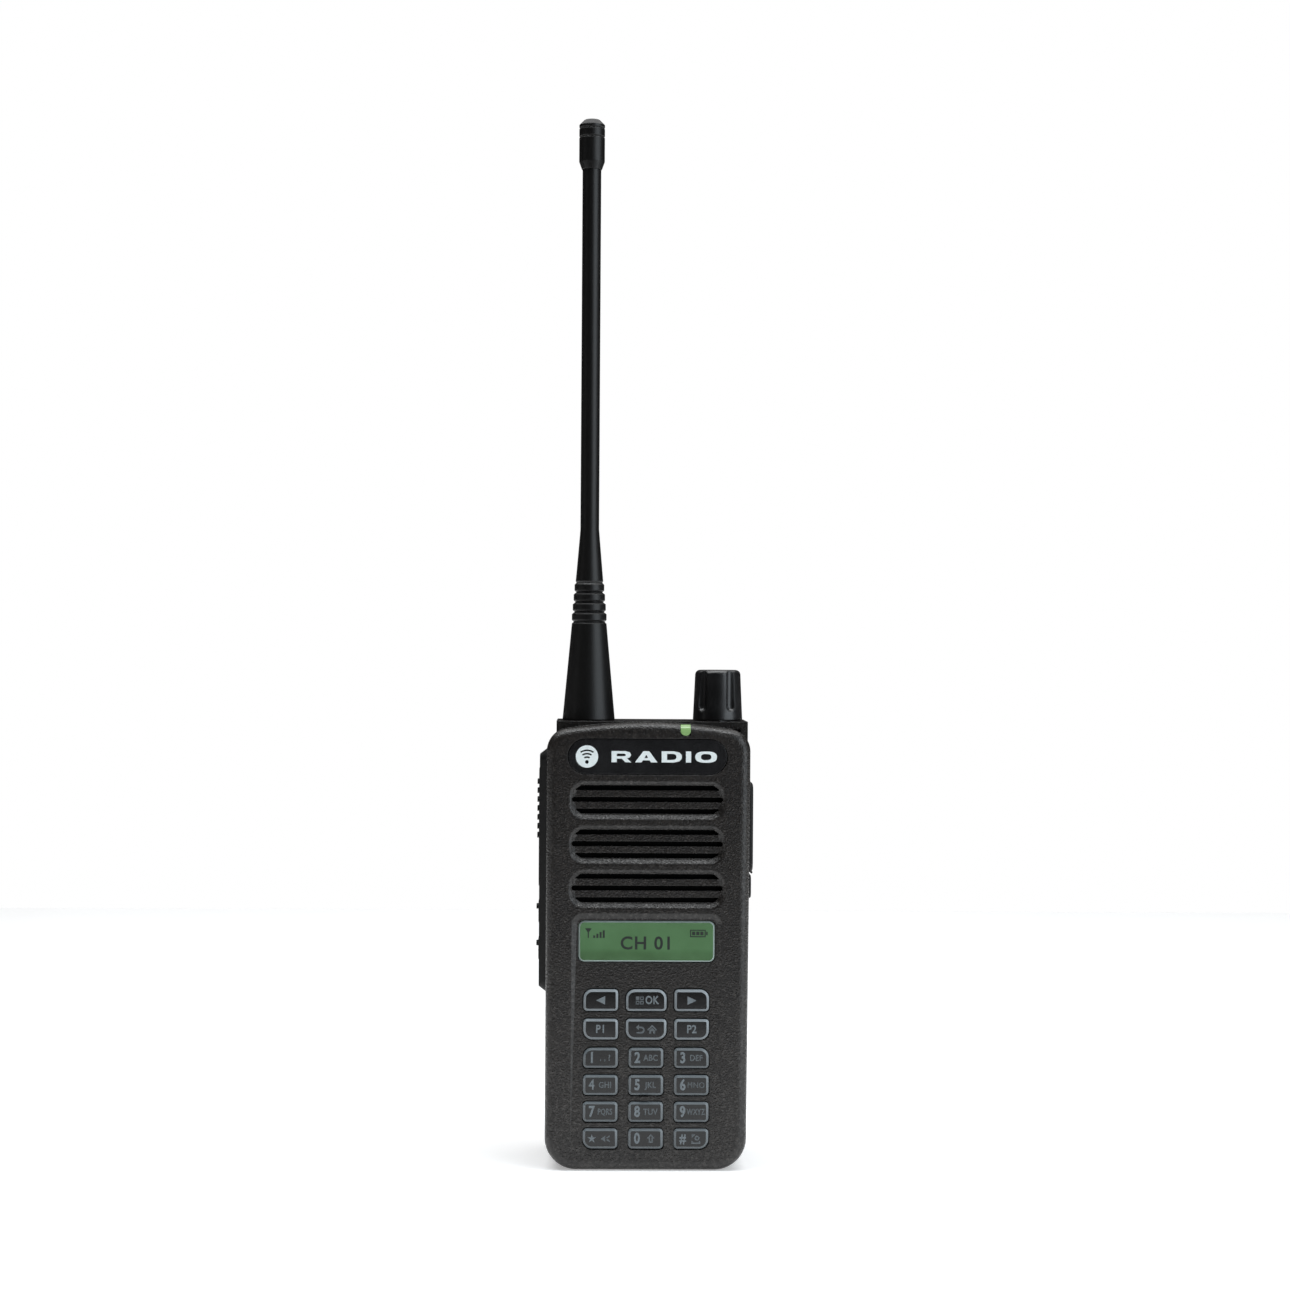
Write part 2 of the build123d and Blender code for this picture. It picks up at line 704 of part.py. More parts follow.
# ---------------------------------------------------------------- left side controls
with BuildPart() as ptt_frame:
    with BuildSketch(outward_left(-HALF_WIDTH)):
        with Locations((-SIDE_Y, sum(FRAME_Z) / 2)):
            RectangleRounded(FRAME_DEPTH, FRAME_Z[1] - FRAME_Z[0], 3.0)
    extrude(amount=FRAME_THICKNESS, taper=38)
    with BuildSketch(outward_left(-HALF_WIDTH)):
        with Locations((-SIDE_Y, sum(PTT_Z) / 2)):
            RectangleRounded(PTT_WIDTH, PTT_Z[1] - PTT_Z[0], 2.4)
        for low, high in (UPPER_BUTTON_Z, LOWER_BUTTON_Z):
            with Locations((-SIDE_Y, (low + high) / 2)):
                RectangleRounded(SIDE_BUTTON_WIDTH, high - low, 1.8)
    extrude(amount=FRAME_THICKNESS + 1, mode=Mode.SUBTRACT)
save(ptt_frame, "ptt_frame")

with BuildPart() as ptt_button:
    with BuildSketch(outward_left(PTT_X)):
        with Locations((-SIDE_Y, sum(PTT_Z) / 2)):
            RectangleRounded(PTT_WIDTH - 2 * BUTTON_GAP, PTT_Z[1] - PTT_Z[0] - 2 * BUTTON_GAP, 2.1)
    extrude(amount=1.2)
    fillet(ptt_button.faces().sort_by(Axis.X)[0].edges(), 0.35)
    with BuildSketch(outward_left(PTT_X - 0.6)):
        with Locations((-SIDE_Y, PTT_RIDGE_MIDDLE)):
            with GridLocations(0, PTT_RIDGE_PITCH, 1, PTT_RIDGES):
                SlotOverall(PTT_WIDTH - 1.8, 1.3)
    extrude(amount=1.05)
    with BuildSketch(outward_left(PTT_X)):
        with Locations((-SIDE_Y, sum(PTT_Z) / 2)):
            Rectangle(3.4, 8.0)
    extrude(amount=-STEM_LENGTH)
save(ptt_button, "ptt_button")

for name, (low, high) in (
    ("side_button_upper", UPPER_BUTTON_Z),
    ("side_button_lower", LOWER_BUTTON_Z),
):
    with BuildPart() as side_button:
        with BuildSketch(outward_left(SIDE_BUTTON_X)):
            with Locations((-SIDE_Y, (low + high) / 2)):
                RectangleRounded(SIDE_BUTTON_WIDTH - 2 * BUTTON_GAP, high - low - 2 * BUTTON_GAP, 1.5)
        extrude(amount=1.4)
        fillet(side_button.faces().sort_by(Axis.X)[0].edges(), 0.4)
        with BuildSketch(outward_left(SIDE_BUTTON_X - 1.2)):
            with Locations((-SIDE_Y, high - 2.2)):
                SlotOverall(3.4, 1.3)
        extrude(amount=0.75)
        with BuildSketch(outward_left(SIDE_BUTTON_X)):
            with Locations((-SIDE_Y, (low + high) / 2)):
                Rectangle(3.0, 3.5)
        extrude(amount=-STEM_LENGTH)
    save(side_button, name)

# ---------------------------------------------------------------- right side connector
with BuildPart() as accessory_jack:
    with BuildSketch(side(JACK_X[0])):
        with Locations((SIDE_Y, sum(JACK_Z) / 2)):
            RectangleRounded(JACK_DEPTH - 0.6, JACK_Z[1] - JACK_Z[0] - 0.6, 1.5)
    extrude(amount=JACK_X[1] - JACK_X[0])
    for radius, z in (HEADSET_BORE, SPEAKER_BORE):
        with BuildSketch(side(JACK_X[1])):
            with Locations((SIDE_Y, z)):
                Circle(radius)
        extrude(amount=-BORE_LENGTH, mode=Mode.SUBTRACT)
save(accessory_jack, "accessory_jack")

with BuildPart() as accessory_cover:
    with BuildSketch(side(COVER_BASE_X)):
        with Locations((SIDE_Y, sum(COVER_Z) / 2)):
            RectangleRounded(COVER_DEPTH, COVER_Z[1] - COVER_Z[0], 3.0)
    extrude(amount=COVER_X - COVER_BASE_X)
    fillet(accessory_cover.faces().sort_by(Axis.X)[-1].edges(), 0.9)
    with BuildSketch(side(COVER_BASE_X)):
        with Locations((SIDE_Y, sum(JACK_Z) / 2)):
            RectangleRounded(JACK_DEPTH - 1.4, JACK_Z[1] - JACK_Z[0] - 1.4, 1.6)
    extrude(amount=-1.3)
    with BuildSketch(facing(SIDE_Y)):
        with Locations(COVER_HINGE):
            Circle(COVER_BEAD)
    extrude(amount=3.2, both=True)
save(accessory_cover, "accessory_cover")

with BuildPart() as cover_retainer:
    with BuildSketch(side(RETAINER_X[0])):
        with Locations((SIDE_Y, sum(RETAINER_Z) / 2)):
            RectangleRounded(COVER_DEPTH - 1.5, RETAINER_Z[1] - RETAINER_Z[0], 1.8)
    extrude(amount=RETAINER_X[1] - RETAINER_X[0])
    fillet(cover_retainer.faces().sort_by(Axis.X)[-1].edges(), 0.5)
    with BuildSketch(side(RETAINER_SCREW_X[1])):
        with Locations((SIDE_Y, sum(RETAINER_Z) / 2)):
            Circle(1.5)
    extrude(amount=RETAINER_SCREW_X[0] - RETAINER_SCREW_X[1], mode=Mode.SUBTRACT)
save(cover_retainer, "cover_retainer")

with BuildPart() as cover_screw:
    with BuildSketch(side(RETAINER_SCREW_X[0])):
        with Locations((SIDE_Y, sum(RETAINER_Z) / 2)):
            Circle(1.4)
    extrude(amount=RETAINER_SCREW_X[1] - RETAINER_SCREW_X[0])
    chamfer(cover_screw.faces().sort_by(Axis.X)[-1].edges(), 0.15)
    with BuildSketch(side(RETAINER_SCREW_X[1])):
        with Locations((SIDE_Y, sum(RETAINER_Z) / 2)):
            RegularPolygon(0.65, 6)
    extrude(amount=-0.35, mode=Mode.SUBTRACT)
save(cover_screw, "cover_screw")

# ---------------------------------------------------------------- volume control
with BuildPart() as volume_knob:
    with BuildSketch(upright(KNOB_X, AXIS_Y)):
        with BuildLine():
            Polyline(
                (0, KNOB_Z[0]),
                (KNOB_RADII[0], KNOB_Z[0]),
                (KNOB_RADII[1], KNOB_Z[1]),
                (0, KNOB_Z[1]),
                close=True,
            )
        make_face()
    revolve(axis=upright_axis(KNOB_X, AXIS_Y))
    fillet(volume_knob.faces().sort_by(Axis.Z)[-1].edges(), 1.4)
    fillet(volume_knob.faces().sort_by(Axis.Z)[0].edges(), 0.3)
    # Grip flutes that end in a round foot above the base.
    with Locations((KNOB_X, AXIS_Y, KNOB_Z[0] + FLUTE_FOOT + FLUTE_RADIUS)):
        with PolarLocations(FLUTE_CENTRE, KNOB_FLUTES, start_angle=-90 + 180 / KNOB_FLUTES + KNOB_TURN):
            Cylinder(FLUTE_RADIUS, 20.0, align=(Align.CENTER, Align.CENTER, Align.MIN), mode=Mode.SUBTRACT)
            Sphere(FLUTE_RADIUS, mode=Mode.SUBTRACT)
    with BuildSketch(Plane.XY.offset(KNOB_Z[0])):
        with Locations((KNOB_X, AXIS_Y)):
            Circle(SHAFT_RADIUS + 0.02)
    extrude(amount=9.5, mode=Mode.SUBTRACT)
save(volume_knob, "volume_knob")

with BuildPart() as volume_shaft:
    with BuildSketch(Plane.XY.offset(SHAFT_Z[0])):
        with Locations((KNOB_X, AXIS_Y)):
            Circle(SHAFT_RADIUS)
    extrude(amount=SHAFT_Z[1] - SHAFT_Z[0])
save(volume_shaft, "volume_shaft")

with BuildPart() as volume_control:
    with BuildSketch(Plane.XY.offset(VOLUME_BODY_Z[0])):
        with Locations((KNOB_X, AXIS_Y)):
            RectangleRounded(VOLUME_BODY_SIZE, VOLUME_BODY_SIZE, 1.0)
    extrude(amount=VOLUME_BODY_Z[1] - VOLUME_BODY_Z[0])
    with BuildSketch(Plane.XY.offset(VOLUME_BODY_Z[1])):
        with Locations((KNOB_X, AXIS_Y)):
            Circle(VOLUME_COLLAR)
    extrude(amount=HEIGHT - 0.2 - VOLUME_BODY_Z[1])
    with BuildSketch(Plane.XY.offset(HEIGHT - 0.2)):
        with Locations((KNOB_X, AXIS_Y)):
            Circle(SHAFT_RADIUS + 0.1)
    extrude(amount=-7.6, mode=Mode.SUBTRACT)
save(volume_control, "volume_control")

# ---------------------------------------------------------------- antenna
with BuildPart() as antenna_socket:
    with BuildSketch(Plane.XY.offset(SOCKET_Z[0])):
        with Locations((ANTENNA_X, AXIS_Y)):
            Circle(SOCKET_RADIUS)
    extrude(amount=SOCKET_Z[1] - SOCKET_Z[0])
    with BuildSketch(Plane.XY.offset(SOCKET_NUT_Z)):
        with Locations((ANTENNA_X, AXIS_Y)):
            RegularPolygon(SOCKET_RADIUS + 1.5, 6)
    extrude(amount=1.2)
    with BuildSketch(Plane.XY.offset(SOCKET_Z[1])):
        with Locations((ANTENNA_X, AXIS_Y)):
            Circle(STUD_RADIUS + 0.05)
    extrude(amount=-11.4, mode=Mode.SUBTRACT)
save(antenna_socket, "antenna_socket")

with BuildPart() as antenna_stud:
    with BuildSketch(Plane.XY.offset(STUD_Z[0])):
        with Locations((ANTENNA_X, AXIS_Y)):
            Circle(STUD_RADIUS)
    extrude(amount=STUD_Z[1] - STUD_Z[0])
save(antenna_stud, "antenna_stud")

with BuildPart() as antenna_sleeve:
    with BuildSketch(upright(ANTENNA_X, AXIS_Y)):
        with BuildLine():
            Polyline(*sleeve_profile(), close=True)
        make_face()
    revolve(axis=upright_axis(ANTENNA_X, AXIS_Y))
    fillet(antenna_sleeve.faces().sort_by(Axis.Z)[0].edges(), 0.4)
    with BuildSketch(Plane.XY.offset(HEIGHT)):
        with Locations((ANTENNA_X, AXIS_Y)):
            Circle(STUD_RADIUS + 0.02)
    extrude(amount=STUD_Z[1] + 0.1 - HEIGHT, mode=Mode.SUBTRACT)
    with BuildSketch(Plane.XY.offset(HEIGHT)):
        with Locations((ANTENNA_X, AXIS_Y)):
            Circle(CORE_RADIUS + 0.02)
    extrude(amount=CAP_START - HEIGHT, mode=Mode.SUBTRACT)
save(antenna_sleeve, "antenna_sleeve")

with BuildPart() as antenna_core:
    with BuildSketch(Plane.XY.offset(STUD_Z[1])):
        with Locations((ANTENNA_X, AXIS_Y)):
            Circle(CORE_RADIUS)
    extrude(amount=CAP_START + 5.0 - STUD_Z[1])
save(antenna_core, "antenna_core")

with BuildPart() as antenna_cap:
    with BuildSketch(upright(ANTENNA_X, AXIS_Y)):
        with BuildLine():
            Polyline(*cap_profile(), close=True)
        make_face()
    revolve(axis=upright_axis(ANTENNA_X, AXIS_Y))
    fillet(antenna_cap.edges().group_by(Axis.Z)[-1], 0.8)
    with BuildSketch(Plane.XY.offset(CAP_START)):
        with Locations((ANTENNA_X, AXIS_Y)):
            Circle(CORE_RADIUS + 0.02)
    extrude(amount=5.1, mode=Mode.SUBTRACT)
save(antenna_cap, "antenna_cap")

# ---------------------------------------------------------------- battery pack
# The room that the latch and its springs take out of the foot of the pack.
with BuildPart() as latch_room:
    with BuildSketch(Plane.XY.offset(LATCH_Z[0] - 1.5)):
        with Locations((0, 12.1)):
            Rectangle(LATCH_WIDTH + 2 * LATCH_GAP, 10.6)
        with Locations((0, 15.0)):
            Rectangle(LATCH_TAB + 2 * LATCH_GAP, 10.0)
    extrude(amount=LATCH_Z[1] + LATCH_GAP + 1.5 - LATCH_Z[0])
    with BuildSketch(Plane.XY.offset(TONGUE_Z[0] - LATCH_GAP)):
        with Locations((0, 6.0)):
            Rectangle(LATCH_TONGUE + 2 * LATCH_GAP, 4.0)
    extrude(amount=TONGUE_Z[1] - TONGUE_Z[0] + 2 * LATCH_GAP)

# The foot slopes up a little towards the radio, so that the pack can swing out.
with BuildPart() as foot_relief:
    with BuildSketch(Plane.YZ):
        with BuildLine():
            Polyline((BATTERY_FRONT - 1, -1), (BATTERY_FRONT - 1, 0.4), (12.0, 0), (12.0, -1), close=True)
        make_face()
    extrude(amount=HALF_WIDTH + 1, both=True)

with BuildPart() as battery_case:
    with BuildSketch(facing(BATTERY_SPLIT)):
        add(battery_outline())
    extrude(amount=BATTERY_SPLIT - BATTERY_FRONT)
    with BuildSketch(facing(BATTERY_SPLIT)):
        with Locations((0, CELL_POCKET_Z)):
            RectangleRounded(*CELL_POCKET, 3.0)
    extrude(amount=BATTERY_SPLIT - BATTERY_FRONT - WALL, mode=Mode.SUBTRACT)
    with BuildSketch(facing(BATTERY_FRONT)):
        with Locations((0, CONTACT_Z)):
            with GridLocations(CONTACT_PITCH, 0, 4, 1):
                RectangleRounded(3.0, 5.6, 0.8)
    extrude(amount=-0.5, mode=Mode.SUBTRACT)
    add(latch_room.part, mode=Mode.SUBTRACT)
    add(foot_relief.part, mode=Mode.SUBTRACT)
save(battery_case, "battery_case")

with BuildPart() as battery_cover:
    with BuildSketch(facing(BATTERY_BACK)):
        add(battery_outline())
    extrude(amount=BATTERY_BACK - BATTERY_SPLIT)
    fillet(battery_cover.faces().sort_by(Axis.Y)[-1].edges(), 3.0)
    with BuildSketch(facing(BATTERY_SPLIT)):
        with Locations((0, CELL_POCKET_Z)):
            RectangleRounded(*CELL_POCKET, 3.0)
    extrude(amount=BATTERY_SPLIT + WALL - BATTERY_BACK, mode=Mode.SUBTRACT)
    with BuildSketch(side(0)):
        with Locations(LUG_CENTRE):
            Circle(LUG_RADIUS)
    extrude(amount=18.0, both=True)
    # Label recess, grip grooves and the seats of the charging contacts, all on the back.
    with BuildSketch(facing(BATTERY_BACK)):
        with Locations((0, LABEL_Z)):
            RectangleRounded(*LABEL_SIZE, 2.5)
    extrude(amount=LABEL_DEPTH, mode=Mode.SUBTRACT)
    with BuildSketch(facing(BATTERY_BACK)):
        with Locations((0, GRIP_Z)):
            with GridLocations(0, GRIP_PITCH, 1, GRIP_GROOVES):
                SlotOverall(GRIP_WIDTH, 1.5)
    extrude(amount=0.7, taper=30, mode=Mode.SUBTRACT)
    with BuildSketch(facing(BATTERY_BACK)):
        with Locations((0, CHARGE_Z)):
            with GridLocations(CHARGE_PITCH, 0, 3, 1):
                Circle(2.2)
    extrude(amount=0.8, mode=Mode.SUBTRACT)
    # Shallow thumb hollows along both sides.
    with BuildSketch(Plane.XY.offset(20.0)):
        for x in (-HALF_WIDTH - 5.2, HALF_WIDTH + 5.2):
            with Locations((x, 14.0)):
                Circle(6.0)
    extrude(amount=60.0, mode=Mode.SUBTRACT)
    add(latch_room.part, mode=Mode.SUBTRACT)
    add(foot_relief.part, mode=Mode.SUBTRACT)
save(battery_cover, "battery_cover")

with BuildPart() as charging_contacts:
    with BuildSketch(facing(BATTERY_BACK - 0.2)):
        with Locations((0, CHARGE_Z)):
            with GridLocations(CHARGE_PITCH, 0, 3, 1):
                Circle(2.1)
    extrude(amount=0.5)
save(charging_contacts, "charging_contacts")

with BuildPart() as battery_cells:
    with BuildSketch(facing(CELL_Y[1])):
        with Locations((0, CELL_POCKET_Z - 1.0)):
            with GridLocations(CELL_SIZE[0] + 2.0, 0, 2, 1):
                RectangleRounded(*CELL_SIZE, 2.0)
    extrude(amount=CELL_Y[1] - CELL_Y[0])
save(battery_cells, "battery_cells")

with BuildPart() as battery_contacts:
    with BuildSketch(facing(BATTERY_FRONT + 0.5)):
        with Locations((0, CONTACT_Z)):
            with GridLocations(CONTACT_PITCH, 0, 4, 1):
                RectangleRounded(2.6, 5.2, 0.7)
    extrude(amount=0.35)
save(battery_contacts, "battery_contacts")

with BuildPart() as battery_latch:
    with BuildSketch(Plane.XY.offset(LATCH_Z[0])):
        with Locations((0, sum(LATCH_Y) / 2)):
            Rectangle(LATCH_WIDTH, LATCH_Y[1] - LATCH_Y[0])
        with Locations((0, 15.5)):
            Rectangle(LATCH_TAB, 2.0)
    extrude(amount=LATCH_Z[1] - LATCH_Z[0])
    with BuildSketch(Plane.XY.offset(TONGUE_Z[0])):
        with Locations((0, 5.6)):
            Rectangle(LATCH_TONGUE, 6.0)
    extrude(amount=TONGUE_Z[1] - TONGUE_Z[0])
    with BuildSketch(Plane.XY.offset(LATCH_Z[0])):
        with Locations((0, 13.2)):
            with GridLocations(0, 1.6, 1, 3):
                Rectangle(LATCH_TAB - 2.0, 0.7)
    extrude(amount=0.4, mode=Mode.SUBTRACT)
    with BuildSketch(facing(LATCH_Y[1])):
        latch_spring_circles(1.15)
    extrude(amount=4.7, mode=Mode.SUBTRACT)
save(battery_latch, "battery_latch")

with BuildPart() as latch_springs:
    with BuildSketch(facing(LATCH_SPRING_Y[1])):
        latch_spring_circles(0.9)
        latch_spring_circles(0.5, mode=Mode.SUBTRACT)
    extrude(amount=LATCH_SPRING_Y[1] - LATCH_SPRING_Y[0])
save(latch_springs, "latch_springs")
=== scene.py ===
import json
import math

import bpy
from mathutils import Matrix, Vector


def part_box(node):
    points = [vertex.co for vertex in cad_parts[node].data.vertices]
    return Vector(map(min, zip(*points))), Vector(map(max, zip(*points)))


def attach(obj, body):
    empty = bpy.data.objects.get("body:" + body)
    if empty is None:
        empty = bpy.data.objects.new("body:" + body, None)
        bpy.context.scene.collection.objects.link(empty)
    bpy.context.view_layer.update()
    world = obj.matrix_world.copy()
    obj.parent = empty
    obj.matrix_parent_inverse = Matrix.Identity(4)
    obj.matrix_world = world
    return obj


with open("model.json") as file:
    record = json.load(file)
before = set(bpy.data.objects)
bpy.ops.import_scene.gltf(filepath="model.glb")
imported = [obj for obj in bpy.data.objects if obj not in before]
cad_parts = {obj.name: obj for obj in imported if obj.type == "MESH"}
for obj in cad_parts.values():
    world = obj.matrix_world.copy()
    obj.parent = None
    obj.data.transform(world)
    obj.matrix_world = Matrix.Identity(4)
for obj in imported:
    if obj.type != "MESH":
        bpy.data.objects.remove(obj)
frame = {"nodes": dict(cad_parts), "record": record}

# A portable radio: finishes for the imported parts, and the printed details that ride on them.
# Everything is in metres, in the frame of the parts.

MM = 0.001
MM_IN_METRE = 1000
NODES = frame["nodes"]
BODIES = frame["record"]["behaviour"]["bodies"]
BODY_OF = {node: body for body, nodes in BODIES.items() for node in nodes}
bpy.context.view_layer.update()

SCREEN_GAMMA = 2.2
# Noise stays mostly between these two values.
NOISE_LOW, NOISE_HIGH = 0.35, 0.65


# ------------------------------------------------------------------ shader helpers
def linear(red, green, blue):
    """A colour given as it looks on a screen, 0 to 255, as linear values with alpha."""
    return tuple((c / 255) ** SCREEN_GAMMA for c in (red, green, blue)) + (1.0,)


def shifted(colour, lift=0, share=1.0):
    """A screen colour made lighter by lift or darker by a share, as linear values with alpha."""
    return linear(*[c * share + lift for c in colour])


class Finish:
    """One material, with the few node patterns that the finishes of this object share."""

    def __init__(self, name, roughness, **inputs):
        self.material = bpy.data.materials.new(name)
        self.material.use_nodes = True
        self.tree = self.material.node_tree
        self.surface = self.tree.nodes["Principled BSDF"]
        self.surface.inputs["Roughness"].default_value = roughness
        for socket, value in inputs.items():
            self.surface.inputs[socket.replace("_", " ")].default_value = value
        self.place = self.tree.nodes.new("ShaderNodeTexCoord")

    def node(self, kind, **settings):
        made = self.tree.nodes.new(kind)
        for key, value in settings.items():
            setattr(made, key, value)
        return made

    def link(self, source, target):
        self.tree.links.new(source, target)

    def axis(self, system, letter):
        """One axis of a coordinate system of the texture coordinates."""
        made = self.node("ShaderNodeSeparateXYZ")
        self.link(self.place.outputs[system], made.inputs["Vector"])
        return made.outputs[letter]

    def noise(self, size_mm, detail=4.0, roughness=0.55):
        """Noise whose features are about size_mm across."""
        made = self.node("ShaderNodeTexNoise")
        made.inputs["Scale"].default_value = MM_IN_METRE / size_mm
        made.inputs["Detail"].default_value = detail
        made.inputs["Roughness"].default_value = roughness
        self.link(self.place.outputs["Object"], made.inputs["Vector"])
        return made.outputs["Fac"]

    def pebbles(self, size_mm):
        """The rounded cells of a spark-eroded mould, about size_mm across."""
        made = self.node("ShaderNodeTexVoronoi", feature="SMOOTH_F1")
        made.inputs["Scale"].default_value = MM_IN_METRE / size_mm
        self.link(self.place.outputs["Object"], made.inputs["Vector"])
        return made.outputs["Distance"]

    def ramp(self, factor, stops):
        """A colour ramp; stops are pairs of place and colour."""
        made = self.node("ShaderNodeValToRGB")
        elements = made.color_ramp.elements
        while len(elements) < len(stops):
            elements.new(0.5)
        for element, (place, colour) in zip(elements, stops):
            element.position = place
            element.color = colour
        self.link(factor, made.inputs["Fac"])
        return made.outputs["Color"]

    def spread(self, factor, low, high, from_low=NOISE_LOW, from_high=NOISE_HIGH):
        """Map a factor between from_low and from_high to values between low and high."""
        made = self.node("ShaderNodeMapRange")
        made.inputs["From Min"].default_value = from_low
        made.inputs["From Max"].default_value = from_high
        made.inputs["To Min"].default_value = low
        made.inputs["To Max"].default_value = high
        self.link(factor, made.inputs["Value"])
        return made.outputs["Result"]

    def mix(self, factor, first, second):
        """Mix two colours; each may be a socket or a plain colour."""
        made = self.node("ShaderNodeMix", data_type="RGBA")
        self.link(factor, made.inputs["Factor"])
        # The mix node has sockets for every kind of value; 6, 7 and output 2 are the colours.
        for socket, colour in ((made.inputs[6], first), (made.inputs[7], second)):
            if isinstance(colour, tuple):
                socket.default_value = colour
            else:
                self.link(colour, socket)
        return made.outputs[2]

    def relief(self, height, depth_mm, below=None):
        """Add bump of depth_mm from a height socket, on top of another bump if given."""
        made = self.node("ShaderNodeBump")
        made.inputs["Distance"].default_value = depth_mm * MM
        self.link(height, made.inputs["Height"])
        if below:
            self.link(below, made.inputs["Normal"])
        self.link(made.outputs["Normal"], self.surface.inputs["Normal"])
        return made.outputs["Normal"]

    def colour(self, socket):
        self.link(socket, self.surface.inputs["Base Color"])

    def roughness(self, socket):
        self.link(socket, self.surface.inputs["Roughness"])

    def soft_edges(self, radius_mm):
        """The normal of the surface with its sharp edges eased over radius_mm."""
        made = self.node("ShaderNodeBevel", samples=4)
        made.inputs["Radius"].default_value = radius_mm * MM
        return made.outputs["Normal"]

    def worn_edges(self, eased, base, lighter):
        """Lighten the colour a little along every sharp edge, convex and concave, where the eased
        normal leaves the true one.
        """
        most, turned, aligned = 0.6, 0.80, 0.99
        geometry = self.node("ShaderNodeNewGeometry")
        compare = self.node("ShaderNodeVectorMath", operation="DOT_PRODUCT")
        self.link(eased, compare.inputs[0])
        self.link(geometry.outputs["Normal"], compare.inputs[1])
        edge = self.spread(compare.outputs["Value"], most, 0.0, turned, aligned)
        return self.mix(edge, base, lighter)


def moulded(name, dark, light, roughness, grain_mm, grain_depth_mm, fleck=14, **inputs):
    """Moulded plastic or rubber: cloudy colour, fine grain, eased edges with their colour
    lightened.

    fleck is how much lighter the grain's flecks are, and they are as much smoother.
    """
    edge_radius_mm, cloud_mm, edge_lift = 0.3, 14.0, 24
    glint = fleck * 0.0053
    finish = Finish(name, roughness, **inputs)
    eased = finish.soft_edges(edge_radius_mm)
    clouds = finish.noise(cloud_mm, 5.0)
    speckle = finish.noise(grain_mm * 2.0, 3.0, 0.75)
    base = finish.mix(finish.spread(clouds, 0, 1), linear(*dark), linear(*light))
    flecks = finish.spread(speckle, 0, 1, 0.48, 0.70)
    flecked = finish.mix(flecks, base, shifted(light, fleck))
    finish.colour(finish.worn_edges(eased, flecked, shifted(light, edge_lift)))
    smooth = finish.spread(speckle, roughness + glint / 2, roughness - glint, 0.42, 0.66)
    finish.roughness(smooth)
    fine = finish.relief(finish.noise(grain_mm * 0.7, 3.0), grain_depth_mm * 0.5, eased)
    finish.relief(finish.pebbles(grain_mm), grain_depth_mm, fine)
    return finish.material


def polished(name, colour, roughness, edge_mm=0.25, **inputs):
    """Glossy plastic with faint handling marks and edges eased over edge_mm."""
    smear_lift, smear_roughness, wave_depth_mm = 7, 0.09, 0.004
    finish = Finish(name, roughness, **inputs)
    smears = finish.noise(5.0, 6.0, 0.7)
    smear_amount = finish.spread(smears, 0, 1)
    finish.colour(finish.mix(smear_amount, linear(*colour), shifted(colour, smear_lift)))
    finish.roughness(finish.spread(smears, roughness, roughness + smear_roughness))
    finish.relief(finish.noise(3.0, 2.0), wave_depth_mm, finish.soft_edges(edge_mm))
    return finish.material


def metal(name, colour, roughness, grain_mm):
    """Bare or plated metal, a little darker and rougher in its grain."""
    finish = Finish(name, roughness, Metallic=1.0)
    grain = finish.noise(grain_mm, 4.0)
    amount = finish.spread(grain, 0, 1)
    finish.colour(finish.mix(amount, linear(*colour), shifted(colour, share=0.8)))
    finish.roughness(finish.spread(grain, roughness - 0.06, roughness + 0.08))
    finish.relief(grain, 0.01)
    return finish.material


def key_cap(name, centre_dark, foot_painted_light, rim):
    """A key: a dark dished centre inside a paler bevelled rim, told apart by how the face lies.

    The centre is lighter towards the key's foot and the rim is darker there: painted light and
    painted shade, not the key's own colour.
    """
    straight, turned = -0.995, -0.93
    finish = Finish(name, 0.24, Coat_Weight=0.1, Coat_Roughness=0.15)
    # Painted shade and painted reflection: each key is darker at the top of its centre and lighter
    # at its foot, and its rim is the other way round.
    shade = finish.spread(finish.axis("Generated", "Z"), 1, 0, 0.15, 0.75)
    centre = finish.spread(finish.axis("Normal", "Y"), 1, 0, straight, turned)
    clouds = finish.noise(2.5, 4.0)
    smooth = finish.mix(shade, linear(*centre_dark), linear(*foot_painted_light))
    middle = finish.mix(finish.spread(clouds, 0, 0.3), smooth, linear(*centre_dark))
    edge = finish.mix(shade, linear(*rim), shifted(rim, share=0.8))
    finish.colour(finish.mix(centre, edge, middle))
    finish.roughness(finish.spread(centre, 0.30, 0.20, 0, 1))
    finish.relief(finish.noise(0.5, 3.0), 0.006)
    return finish.material


def lcd_window(name):
    """The green display behind its lens, a little darker towards the foot, with a pale bevel that
    is a painted highlight.
    """
    straight, turned = -0.98, -0.9
    finish = Finish(name, 0.16, Coat_Weight=0.8, Coat_Roughness=0.05)
    low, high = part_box("display_window")
    height = finish.spread(finish.axis("Object", "Z"), 0, 1, low.z, high.z)
    clouds = finish.noise(9.0, 3.0)
    green = finish.ramp(
        height,
        [
            (0.0, linear(72, 99, 68)),
            (0.26, linear(77, 106, 73)),
            (0.36, linear(87, 121, 84)),
            (1.0, linear(91, 124, 88)),
        ],
    )
    lens = finish.mix(finish.spread(clouds, 0, 0.35), green, linear(100, 138, 98))
    # Painted highlight: the lens's chamfer is painted pale bluish grey, as if it caught the light.
    bevel = finish.spread(finish.axis("Normal", "Y"), 0, 1, straight, turned)
    finish.colour(finish.mix(bevel, lens, linear(165, 180, 176)))
    finish.relief(finish.noise(0.35, 2.0), 0.002)
    return finish.material


